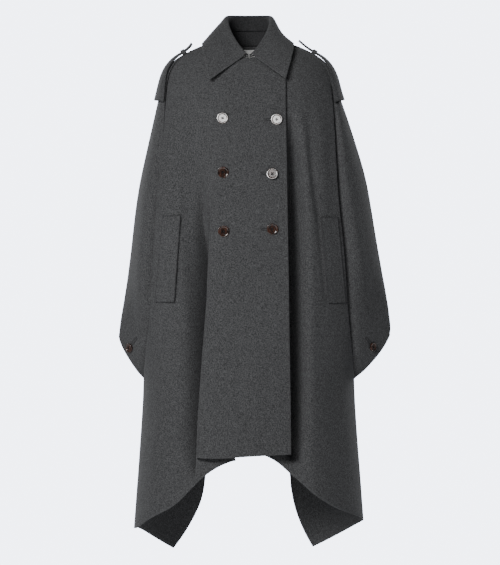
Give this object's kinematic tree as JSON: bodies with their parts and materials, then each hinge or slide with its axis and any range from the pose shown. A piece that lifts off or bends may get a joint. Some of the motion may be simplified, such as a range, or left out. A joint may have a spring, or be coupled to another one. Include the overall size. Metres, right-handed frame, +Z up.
{
  "type": "cape coat",
  "caption": "Long double-breasted wool cape coat with a pointed collar, shoulder straps, welt pockets and a hem that falls to points at both sides, filled out as if worn.",
  "frame": {"origin": "between the wearer's shoulders, on the coat's middle plane, level with the shoulder line", "axes": "+X to the wearer's left, +Y to the wearer's back, +Z up"},
  "size_m": [0.6409, 0.3778, 1.2851],
  "materials": {
    "wool": "charcoal grey melange felted wool, brushed, matt",
    "horn": "dark brown horn, polished",
    "label_cloth": "plain light grey woven label"
  },
  "bodies": {
    "root": {"back": "wool", "collar_fall": "wool", "collar_stand": "wool", "left_arm_panel": "wool", "left_front": "wool", "left_pocket_welt": "wool", "left_shoulder_strap": "wool", "left_strap_loop": "wool", "right_arm_panel": "wool", "right_front": "wool", "right_pocket_welt": "wool", "right_shoulder_strap": "wool", "right_strap_loop": "wool", "front_button_top_right": "horn", "front_button_top_left": "horn", "front_button_middle_right": "horn", "front_button_middle_left": "horn", "front_button_bottom_right": "horn", "front_button_bottom_left": "horn", "left_arm_button": "horn", "right_arm_button": "horn", "neck_label": "label_cloth"}
  },
  "joints": []
}
